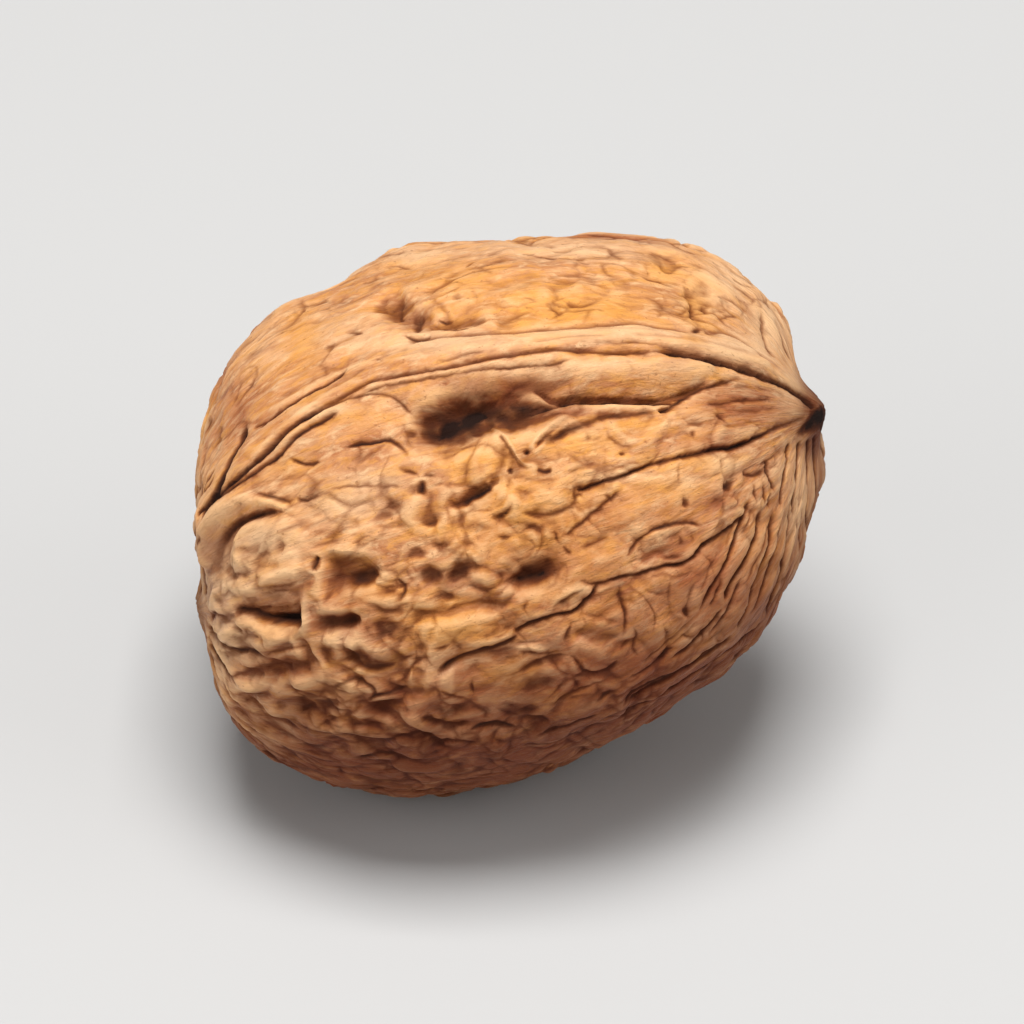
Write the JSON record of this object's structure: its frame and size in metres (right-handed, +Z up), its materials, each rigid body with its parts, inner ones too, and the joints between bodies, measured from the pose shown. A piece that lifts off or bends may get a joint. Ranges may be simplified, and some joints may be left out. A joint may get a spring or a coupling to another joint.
{
  "type": "walnut",
  "caption": "Whole walnut in its furrowed shell, with a raised seam round it and a blunt tip, lying on a small flat spot on its underside.",
  "frame": {"origin": "under the middle of the nut's bounding box, on the surface that the nut lies on", "axes": "+X along the nut's length, towards its tip, which points 16 degrees above level. +Z up. The seam's upper crest leans 14 degrees towards -Y"},
  "size_m": [0.0422, 0.0352, 0.035],
  "materials": {
    "shell": "matt, with a slight sheen on the smooth ribs"
  },
  "bodies": {
    "root": {"walnut": "shell"}
  },
  "joints": []
}
